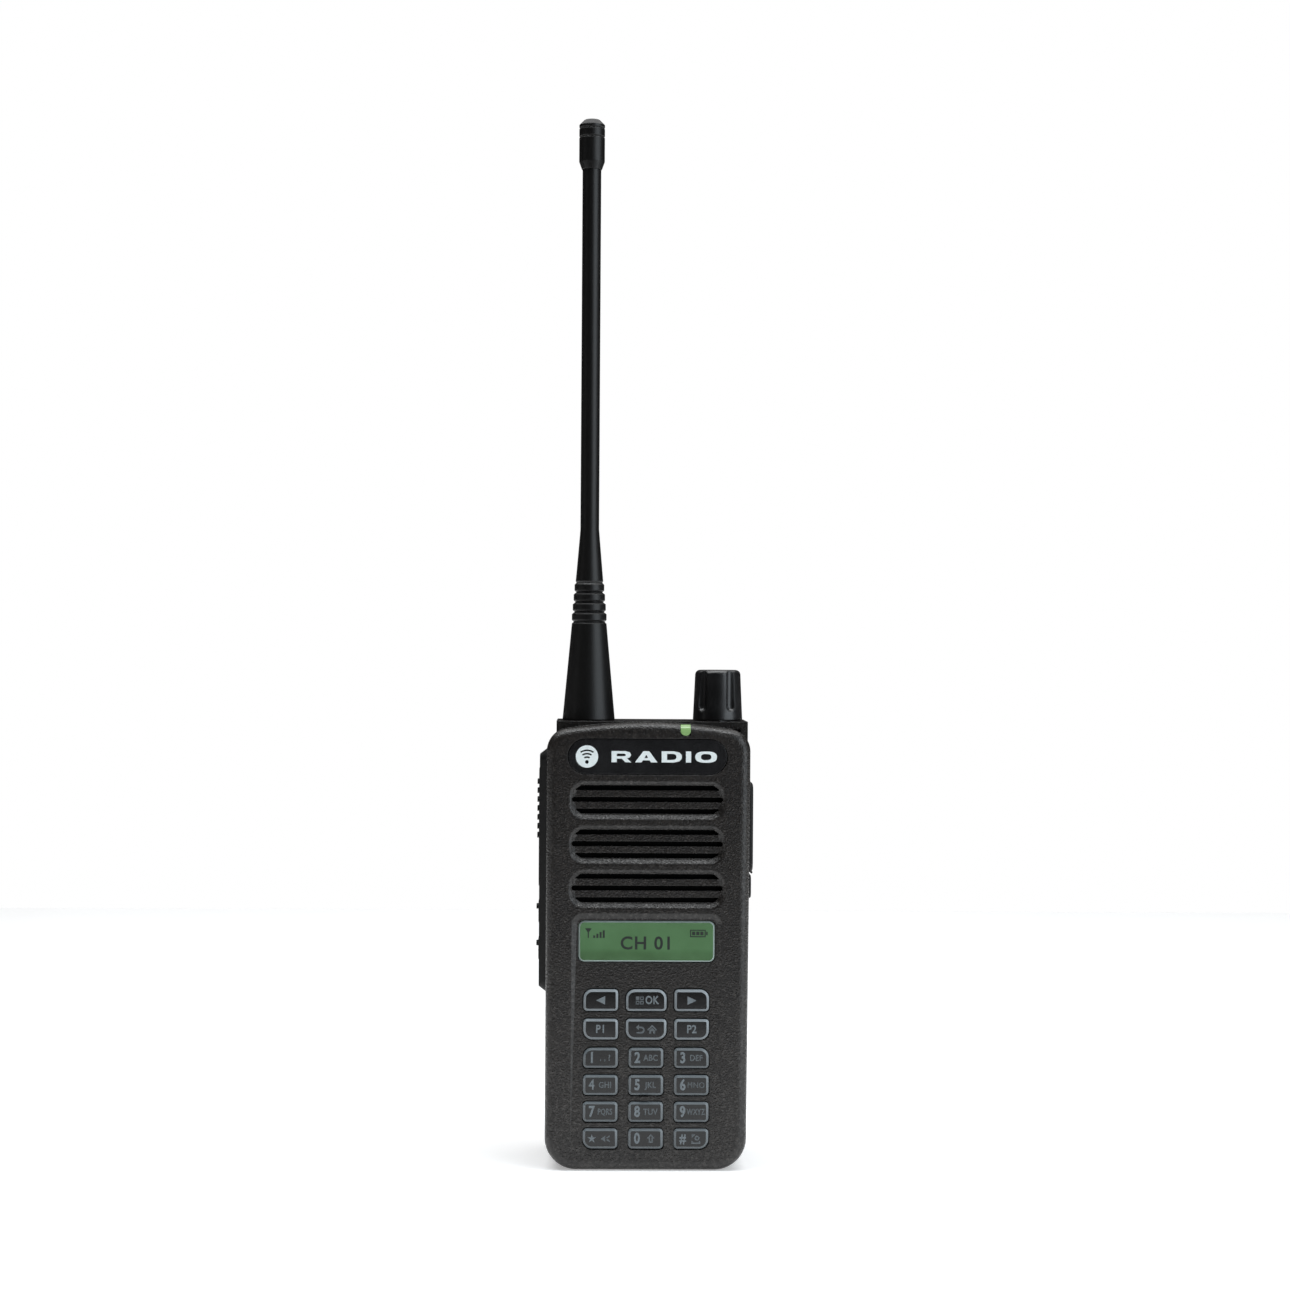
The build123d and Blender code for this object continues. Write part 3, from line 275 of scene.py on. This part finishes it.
def make_materials():
    """One finish for each material slot, and the few that single parts have of their own."""
    return {
        "housing": moulded(
            "housing_plastic", (24, 21, 20), (31, 28, 26), 0.30, 0.4, 0.10, fleck=34
        ),
        "battery_plastic": moulded(
            "battery_plastic", (23, 20, 19), (29, 26, 25), 0.40, 0.4, 0.10, fleck=28
        ),
        "latch_plastic": moulded(
            "latch_plastic", (24, 24, 24), (30, 30, 30), 0.40, 0.3, 0.02, fleck=8
        ),
        "gloss_black": polished(
            "gloss_black", (18, 18, 20), 0.30, Coat_Weight=0.3, Coat_Roughness=0.18
        ),
        "knob": polished(
            "knob_gloss", (11, 11, 13), 0.34, edge_mm=0.8, Coat_Weight=0.6, Coat_Roughness=0.24
        ),
        "nameplate": polished(
            "nameplate", (33, 33, 34), 0.10, Coat_Weight=0.6, Coat_Roughness=0.04
        ),
        "window": lcd_window("display_window"),
        "display": polished("display_module", (60, 90, 60), 0.3),
        "light_lens": polished(
            "light_lens", (138, 176, 112), 0.22, Coat_Weight=0.4, Coat_Roughness=0.1
        ),
        # The second colour of each key is the painted light at the foot of its centre.
        "nav_keys": key_cap("nav_keys", (3, 3, 4), (36, 35, 36), (140, 148, 153)),
        "key_plastic": key_cap("number_keys", (7, 7, 8), (17, 16, 17), (110, 117, 121)),
        "soft_rubber": moulded(
            "soft_rubber", (11, 10, 10), (16, 15, 15), 0.55, 0.3, 0.012, fleck=5,
            Specular_IOR_Level=0.3,
        ),
        "antenna_rubber": moulded(
            "antenna_rubber", (8, 7, 7), (13, 12, 12), 0.40, 0.3, 0.012, fleck=4
        ),
        "cast_metal": metal("cast_metal", (150, 150, 148), 0.5, 0.5),
        "steel": metal("plated_steel", (165, 165, 165), 0.3, 0.4),
        "brass": metal("gold_plate", (214, 178, 98), 0.25, 0.4),
        "inner_plastic": moulded("inner_plastic", (34, 34, 34), (40, 40, 40), 0.5, 0.3, 0.01),
        "board": moulded("solder_mask", (16, 62, 34), (22, 78, 42), 0.4, 0.5, 0.01),
        "cone": moulded(
            "speaker_felt", (5, 5, 5), (8, 8, 8), 0.9, 0.3, 0.04, fleck=3,
            Specular_IOR_Level=0.1,
        ),
        "cell_wrap": polished("cell_wrap", (40, 84, 140), 0.3),
    }


MATERIALS = make_materials()
NAV_KEYS = ("key_left", "key_ok", "key_right", "key_p1", "key_home", "key_p2")
OWN_FINISH = dict.fromkeys(NAV_KEYS, "nav_keys")
OWN_FINISH["nameplate"] = "nameplate"
OWN_FINISH["volume_knob"] = "knob"


def finish_nodes():
    """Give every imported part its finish."""
    for row in frame["record"]["subparts"]:
        finish = OWN_FINISH.get(row["node"], row["material_slot"])
        for material_slot in NODES[row["node"]].material_slots:
            material_slot.link = "OBJECT"
            material_slot.material = MATERIALS[finish]


# ------------------------------------------------------------------ flat printed marks
def ink(name, colour, uneven=0.9):
    """Printing ink, very slightly uneven."""
    finish = Finish(name, 0.42)
    grain = finish.noise(0.4, 3.0)
    amount = finish.spread(grain, 0, 1)
    finish.colour(finish.mix(amount, linear(*colour), shifted(colour, share=uneven)))
    finish.relief(grain, 0.003)
    return finish.material


INKS = {
    "legend": ink("legend_ink", (116, 124, 129)),
    "letters": ink("letter_ink", (92, 98, 102)),
    "white": ink("white_ink", (246, 255, 255), 0.97),
    "label": ink("label_film", (46, 46, 47)),
    "display": ink("display_ink", (40, 46, 42)),
}
PRINT_THICKNESS = 0.02 * MM
# How high a capital of the plain lettering is, in sizes of the lettering.
CAPITAL_HEIGHT = 0.7


def outline_curve(loops):
    """A filled flat curve from loops of (x, z) points in millimetres."""
    curve = bpy.data.curves.new("outline", "CURVE")
    curve.dimensions = "2D"
    curve.fill_mode = "BOTH"
    for loop in loops:
        spline = curve.splines.new("POLY")
        spline.points.add(len(loop) - 1)
        for point, (x, z) in zip(spline.points, loop):
            point.co = (x, z, 0, 1)
        spline.use_cyclic_u = True
    return curve


def text_curve(text, height_mm, spacing, weight_mm):
    """Plain lettering whose capitals are height_mm high, made bolder by weight_mm."""
    curve = bpy.data.curves.new("lettering", "FONT")
    curve.body = text
    curve.size = height_mm / CAPITAL_HEIGHT
    curve.space_character = spacing
    curve.offset = weight_mm
    curve.align_x = "CENTER"
    curve.align_y = "CENTER"
    curve.resolution_u = 4
    return curve


def printed(name, curve, centre, y, colour, body, squeeze=1.0, behind=False):
    """Print a flat curve, drawn in millimetres, at (x, z) in metres on a surface at y.

    The surface faces forward, or back where behind is set.
    """
    curve.extrude = PRINT_THICKNESS / MM / 2
    holder = bpy.data.objects.new("holder", curve)
    bpy.context.scene.collection.objects.link(holder)
    bpy.context.view_layer.update()
    flat = holder.evaluated_get(bpy.context.evaluated_depsgraph_get())
    mesh = bpy.data.meshes.new_from_object(flat)
    bpy.data.objects.remove(holder)
    stand = Matrix.Rotation(math.radians(90), 4, "X") @ Matrix.Diagonal((squeeze * MM, MM, MM, 1))
    lift = -PRINT_THICKNESS / 2
    if behind:
        stand = Matrix.Rotation(math.pi, 4, "Z") @ stand
        lift = -lift
    mesh.transform(Matrix.Translation((centre[0], y + lift, centre[1])) @ stand)
    mesh.name = name
    mesh.materials.append(INKS[colour])
    piece = bpy.data.objects.new(name, mesh)
    bpy.context.scene.collection.objects.link(piece)
    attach(piece, body)


def box_loop(x0, z0, x1, z1):
    """A box between two opposite corners."""
    return [(x0, z0), (x1, z0), (x1, z1), (x0, z1)]


def bend_points(centre, radius, start_deg, end_deg, steps=12):
    """Points along an arc, its ends left out."""
    angles = [math.radians(start_deg + (end_deg - start_deg) * i / steps) for i in range(1, steps)]
    return [(centre[0] + radius * math.cos(a), centre[1] + radius * math.sin(a)) for a in angles]


def arc_loop(radius, thickness, start_deg, end_deg, centre=(0, 0)):
    """A bent bar along an arc."""
    outer = bend_points(centre, radius + thickness / 2, start_deg, end_deg)
    inner = bend_points(centre, radius - thickness / 2, end_deg, start_deg)
    return outer + inner


def rounded_box_loop(half_width, half_height, radius):
    """A box about the origin with rounded corners."""
    loop = []
    for sx, sz, start in ((1, 1, 0), (-1, 1, 90), (-1, -1, 180), (1, -1, 270)):
        corner = (sx * (half_width - radius), sz * (half_height - radius))
        loop += bend_points(corner, radius, start, start + 90)
    return loop


def circle_loop(radius, centre=(0, 0)):
    """A full circle, closed with the point that bend_points leaves out."""
    return bend_points(centre, radius, 0, 360, 40) + [(centre[0] + radius, centre[1])]


def squared_oval_loop(half_width, half_height, middle=0.5, steps=36):
    """An oval with fuller corners, about (middle, middle)."""
    fullness = 0.75
    loop = []
    for i in range(steps):
        angle = math.tau * i / steps
        x, z = math.cos(angle), math.sin(angle)
        loop.append(
            (middle + half_width * math.copysign(abs(x) ** fullness, x),
             middle + half_height * math.copysign(abs(z) ** fullness, z))
        )
    return loop


def star_loop(outer, inner, points=5):
    """A star that stands on two of its points."""
    angles = [math.pi / 2 + math.pi * i / points for i in range(2 * points)]
    radii = [inner if i % 2 else outer for i in range(2 * points)]
    return [(radius * math.cos(a), radius * math.sin(a)) for radius, a in zip(radii, angles)]


# Small plain marks, as outlines in millimetres about their own middle.
ICONS = {
    "star": [star_loop(1.25, 0.42)],
    "arrow_left": [[(1.15, 1.15), (1.15, -1.15), (-1.25, 0)]],
    "arrow_right": [[(-1.15, 1.15), (-1.15, -1.15), (1.25, 0)]],
    "grid": [
        box_loop(-1.0, 0.1, -0.1, 1.0),
        box_loop(0.1, 0.1, 1.0, 1.0),
        box_loop(0.32, 0.32, 0.78, 0.78),
        box_loop(-1.0, -1.0, -0.1, -0.1),
        box_loop(-0.78, -0.78, -0.32, -0.32),
        box_loop(0.1, -1.0, 1.0, -0.1),
        box_loop(0.32, -0.78, 0.78, -0.32),
    ],
    "back": [
        [(-1.05, 0.5), (-0.3, 1.2), (-0.3, 0.7), (0.25, 0.7)]
        + bend_points((0.25, -0.15), 0.85, 90, -90)
        + [(0.25, -1.0), (-0.85, -1.0), (-0.85, -0.6), (0.25, -0.6)]
        + bend_points((0.25, -0.15), 0.45, -90, 90)
        + [(0.25, 0.3), (-0.3, 0.3), (-0.3, -0.2)],
    ],
    "home": [
        [(-1.2, -0.05), (0, 1.15), (1.2, -0.05), (0.95, -0.3), (0, 0.65), (-0.95, -0.3)],
        [(-0.72, -1.0), (-0.72, -0.28), (0, 0.44), (0.72, -0.28), (0.72, -1.0), (0.24, -1.0),
         (0.24, -0.4), (-0.24, -0.4), (-0.24, -1.0)],
    ],
    "loud": [
        [(-1.2, 0), (-0.1, 0.75), (-0.1, -0.75)],
        [(0.1, 0.28), (1.0, 0.85), (1.0, 0.45), (0.35, 0.05)],
        [(0.1, -0.28), (1.0, -0.85), (1.0, -0.45), (0.35, -0.05)],
    ],
    "shift": [
        [(0, 1.15), (1.0, 0.1), (0.5, 0.1), (0.5, -0.95), (-0.5, -0.95), (-0.5, 0.1),
         (-1.0, 0.1)],
        [(0, 0.68), (-0.4, 0.32), (-0.16, 0.32), (-0.16, -0.6), (0.16, -0.6), (0.16, 0.32),
         (0.4, 0.32)],
    ],
    "space": [
        [(-1.0, 1.15), (-0.1, 1.15), (-1.0, 0.2)],
        circle_loop(0.6, (0.3, 0.2)),
        circle_loop(0.25, (0.3, 0.2)),
        [(-1.1, -0.5), (-1.1, -1.2), (1.1, -1.2), (1.1, -0.5), (0.75, -0.5), (0.75, -0.85),
         (-0.75, -0.85), (-0.75, -0.5)],
    ],
}

# How a mark is drawn: its height in millimetres, or an icon's scale, its squeeze and its ink.
DIGIT = (2.75, 0.78, "legend")
WORD = (2.1, 0.85, "legend")
NARROW_WORD = (2.1, 0.78, "legend")
HASH = (2.5, 0.8, "legend")
ARROW = (1.0, 1.0, "legend")
SMALL_ICON = (1.1, 1.0, "letters")
GRID_ICON = (1.05, 1.0, "letters")
THREE_LETTERS = (1.55, 0.86, "letters")
FOUR_LETTERS = (1.55, 0.70, "letters")
DIGIT_X = -2.3
LETTERS_X = 1.25

# What each key shows, as (kind, what, x in millimetres from the middle, how it is drawn).
LEGENDS = {
    "key_left": [("icon", "arrow_left", 0.0, ARROW)],
    "key_ok": [("icon", "grid", -1.75, GRID_ICON), ("text", "OK", 1.5, NARROW_WORD)],
    "key_right": [("icon", "arrow_right", 0.0, ARROW)],
    "key_p1": [("text", "P1", 0.0, WORD)],
    "key_home": [("icon", "back", -1.6, SMALL_ICON), ("icon", "home", 1.6, SMALL_ICON)],
    "key_p2": [("text", "P2", 0.0, WORD)],
    "key_star": [("icon", "star", -2.2, ARROW), ("icon", "loud", 1.5, SMALL_ICON)],
    "key_0": [("text", "0", DIGIT_X, DIGIT), ("icon", "shift", 1.4, SMALL_ICON)],
    "key_hash": [("text", "#", -2.2, HASH), ("icon", "space", 1.3, SMALL_ICON)],
}
LETTERS = (". , ?", "ABC", "DEF", "GHI", "JKL", "MNO", "PQRS", "TUV", "WXYZ")
for digit, letters in enumerate(LETTERS, start=1):
    drawn = FOUR_LETTERS if len(letters) == 4 else THREE_LETTERS
    LEGENDS[f"key_{digit}"] = [
        ("text", str(digit), DIGIT_X, DIGIT),
        ("text", letters, LETTERS_X, drawn),
    ]

# How bold lettering is, as a share of its height.
DIGIT_WEIGHT = 0.05
LETTER_WEIGHT = 0.036
# Lettering whose sharp inner corners would cross if it were as bold as the rest.
THIN = {"MNO": 0.0, "4": 0.018}


def scaled(loops, scale):
    """The same outlines, larger or smaller."""
    return [[(x * scale, z * scale) for x, z in loop] for loop in loops]


def print_legends():
    """Print every key's marks on the floor of its shallow dish."""
    dish = 0.06 * MM
    spacing = 1.08
    for key, marks in LEGENDS.items():
        low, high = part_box(key)
        middle = (low + high) / 2
        for index, (kind, what, x, (size, squeeze, colour)) in enumerate(marks):
            if kind == "icon":
                curve = outline_curve(scaled(ICONS[what], size))
            else:
                weight = THIN.get(what, DIGIT_WEIGHT if what.isdigit() else LETTER_WEIGHT)
                curve = text_curve(what, size, spacing, weight * size)
            centre = (middle.x + x * MM, middle.z)
            name = f"{key}_mark_{index + 1}"
            face = low.y + dish
            printed(name, curve, centre, face, colour, BODY_OF[key], squeeze)


# The letters of a plain wide word, as outlines in a box 1 wide and 1 high.
WIDE_LETTERS = {
    "R": [
        [(0, 0), (0, 1), (0.72, 1), (0.93, 0.9), (1, 0.72), (1, 0.6), (0.93, 0.42), (0.8, 0.35),
         (1.02, 0), (0.72, 0), (0.53, 0.32), (0.27, 0.32), (0.27, 0)],
        [(0.27, 0.54), (0.66, 0.54), (0.73, 0.6), (0.73, 0.71), (0.66, 0.77), (0.27, 0.77)],
    ],
    "A": [
        [(0, 0), (0.37, 1), (0.63, 1), (1, 0), (0.71, 0), (0.65, 0.18), (0.35, 0.18), (0.29, 0)],
        [(0.42, 0.39), (0.58, 0.39), (0.5, 0.68)],
    ],
    "D": [
        [(0, 0), (0, 1), (0.62, 1), (0.88, 0.89), (1, 0.66), (1, 0.34), (0.88, 0.11), (0.62, 0)],
        [(0.27, 0.23), (0.56, 0.23), (0.68, 0.29), (0.73, 0.41), (0.73, 0.59), (0.68, 0.71),
         (0.56, 0.77), (0.27, 0.77)],
    ],
    "I": [box_loop(0, 0, 1, 1)],
    "O": [squared_oval_loop(0.5, 0.5), squared_oval_loop(0.24, 0.27)],
}


def wide_word(word, widths_mm, height_mm, gap_mm):
    """The outlines of a word, centred on its own middle."""
    x = -(sum(widths_mm) + gap_mm * (len(word) - 1)) / 2
    loops = []
    for letter, width in zip(word, widths_mm):
        for loop in WIDE_LETTERS[letter]:
            loops.append([(x + px * width, (pz - 0.5) * height_mm) for px, pz in loop])
        x += width + gap_mm
    return loops


def print_nameplate():
    """A pale disc with three plain radio waves cut out of it, and a plain word."""
    low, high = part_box("nameplate")
    middle_z = (low.z + high.z) / 2
    disc_radius, dot_radius, source = 3.0, 0.5, (0, -1.45)
    wave_radii, wave_thickness = (1.3, 2.2, 3.1), 0.42
    disc = [circle_loop(disc_radius), circle_loop(dot_radius, source)]
    disc += [arc_loop(radius, wave_thickness, 50, 130, source) for radius in wave_radii]
    place = (low.x + 5.1 * MM, middle_z)
    printed("nameplate_emblem", outline_curve(disc), place, low.y, "white", "radio")
    letter_widths, letter_height, gap = (5.2, 6.0, 5.4, 1.4, 5.8), 3.0, 1.1
    word = outline_curve(wide_word("RADIO", letter_widths, letter_height, gap))
    place = (4.4 * MM, middle_z)
    printed("nameplate_word", word, place, low.y, "white", "radio")


def print_display():
    """Signal bars, a channel number and a battery, as a display of this kind shows."""
    low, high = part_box("display_window")
    middle = ((low.x + high.x) / 2, (low.z + high.z) / 2)
    mast = [(-0.9, 2.6), (0.9, 2.6), (0.15, 1.5), (0.15, 0), (-0.15, 0), (-0.15, 1.5)]
    bars = [box_loop(1.3 + 0.85 * i, 0, 1.85 + 0.85 * i, 0.7 + 0.45 * i) for i in range(4)]
    battery = [
        box_loop(0, 0, 4.2, 2.0),
        box_loop(0.28, 0.28, 3.92, 1.72),
        box_loop(4.3, 0.55, 4.7, 1.45),
        *[box_loop(0.55 + 1.1 * i, 0.52, 1.4 + 1.1 * i, 1.48) for i in range(3)],
    ]
    # name, outline, and place in millimetres from the middle of the window
    marks = (
        ("display_signal", outline_curve([mast] + bars), (-15.6, 0.9)),
        ("display_battery", outline_curve(battery), (11.6, 1.2)),
        ("display_channel", text_curve("CH 01", 3.4, 1.1, 0.1), (0.0, -0.6)),
    )
    for name, curve, (x, z) in marks:
        centre = (middle[0] + x * MM, middle[1] + z * MM)
        printed(name, curve, centre, low.y, "display", "radio")


def print_battery():
    """A blank label with a ruled border, and the polarity of the outer charging contacts."""
    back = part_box("battery_cover")[1].y
    label_face = back - 0.35 * MM
    label_centre = (0, 62.0 * MM)
    contact_x, contact_z = 12.5, 34.0
    film = [rounded_box_loop(19.6, 21.6, 2.3)]
    border = [rounded_box_loop(19.2, 21.2, 2.0), rounded_box_loop(18.6, 20.6, 1.6)]
    rules = [box_loop(-15.0, z, 15.0, z + 0.3) for z in (-13.0, 10.0)]
    plus = [(-0.9, 0.2), (-0.2, 0.2), (-0.2, 0.9), (0.2, 0.9), (0.2, 0.2), (0.9, 0.2),
            (0.9, -0.2), (0.2, -0.2), (0.2, -0.9), (-0.2, -0.9), (-0.2, -0.2), (-0.9, -0.2)]
    minus = box_loop(-0.9, -0.2, 0.9, 0.2)
    plus_centre = (contact_x * MM, contact_z * MM)
    minus_centre = (-contact_x * MM, contact_z * MM)
    # name, outline, centre, the face under it, ink
    marks = (
        ("label", film, label_centre, label_face, "label"),
        ("label_lines", border + rules, label_centre, label_face + PRINT_THICKNESS, "letters"),
        ("plus", [plus], plus_centre, back, "letters"),
        ("minus", [minus], minus_centre, back, "letters"),
    )
    for name, loops, centre, face, colour in marks:
        curve = outline_curve(loops)
        name = f"battery_{name}"
        printed(name, curve, centre, face, colour, "battery", behind=True)


# ------------------------------------------------------------------ stage
def area_light(name, place, target, size, power, colour=(1, 1, 1)):
    """A rectangular soft light, turned to its target; lengths in metres, power in watts."""
    light = bpy.data.lights.new(name, "AREA")
    light.shape = "RECTANGLE"
    light.size, light.size_y = size
    light.energy = power
    light.color = colour
    holder = bpy.data.objects.new(name, light)
    holder.location = place
    holder.rotation_euler = (Vector(target) - Vector(place)).to_track_quat("-Z", "Y").to_euler()
    bpy.context.scene.collection.objects.link(holder)


def make_floor():
    """A pale light table that reaches far behind the radio and only a little way in front of it."""
    side, front, back = 0.65, -0.28, 0.65
    glow = 0.36
    mesh = bpy.data.meshes.new("floor")
    corners = [(-side, front, 0), (side, front, 0), (side, back, 0), (-side, back, 0)]
    mesh.from_pydata(corners, [], [(0, 1, 2, 3)])
    floor = bpy.data.objects.new("floor", mesh)
    bpy.context.scene.collection.objects.link(floor)
    table = Finish("pale_floor", 0.8)
    mottle = table.noise(60.0, 3.0)
    white, shade = linear(248, 248, 248), linear(245, 245, 245)
    table.colour(table.mix(table.spread(mottle, 0, 1), white, shade))
    table.surface.inputs["Emission Color"].default_value = (1, 1, 1, 1)
    table.surface.inputs["Emission Strength"].default_value = glow
    mesh.materials.append(table.material)


def make_world():
    """White where the camera looks past the radio, dim for everything that the radio reflects."""
    room_level = 0.03
    world = bpy.data.worlds.new("studio")
    world.use_nodes = True
    tree = world.node_tree
    background = tree.nodes["Background"]
    background.inputs["Color"].default_value = (1, 1, 1, 1)
    path = tree.nodes.new("ShaderNodeLightPath")
    level = tree.nodes.new("ShaderNodeMapRange")
    level.inputs["To Min"].default_value = room_level
    level.inputs["To Max"].default_value = 1.0
    tree.links.new(path.outputs["Is Camera Ray"], level.inputs["Value"])
    tree.links.new(level.outputs["Result"], background.inputs["Strength"])
    bpy.context.scene.world = world
    bpy.context.scene.view_settings.view_transform = "Standard"


def make_lights():
    """A wide light above, one for the floor behind, a cool one at the right, a weak one left."""
    middle = (0, 0, 0.15)
    cool, cooler = (0.95, 0.98, 1.0), (0.86, 0.94, 1.0)
    area_light("top_softbox", (0.0, -0.15, 1.0), (0, 0, 0.05), (1.3, 0.3), 7.6, cool)
    area_light("back_softbox", (0.0, 0.40, 1.0), (0, 0.3, 0), (1.6, 0.9), 6.5)
    area_light("right_softbox", (0.64, -0.50, 0.35), middle, (0.7, 0.9), 4.2, cooler)
    area_light("left_strip", (-0.95, -0.35, 0.30), middle, (0.12, 0.8), 0.10)


def make_camera():
    """A long lens at the height of the middle of the picture, a little to the left."""
    picture_width = 1290
    focal_length = 2549.7  # in the picture's own units of width
    distance = 700 * MM
    height = 140.57 * MM
    eye = Vector((-14.7 * MM, -distance, height))
    aim = Vector((-0.55 * MM, 0, height))
    roll_deg = 0.35
    camera = bpy.data.cameras.new("camera")
    camera.sensor_width = 36.0
    camera.lens = focal_length / picture_width * camera.sensor_width
    camera.clip_start = 0.01
    holder = bpy.data.objects.new("camera", camera)
    look = (aim - eye).to_track_quat("-Z", "Y").to_matrix().to_4x4()
    roll = Matrix.Rotation(math.radians(roll_deg), 4, "Z")
    holder.matrix_world = Matrix.Translation(eye) @ look @ roll
    bpy.context.scene.collection.objects.link(holder)
    bpy.context.scene.camera = holder


make_camera()
make_floor()
make_world()
make_lights()
finish_nodes()
print_legends()
print_nameplate()
print_display()
print_battery()

bpy.context.view_layer.update()
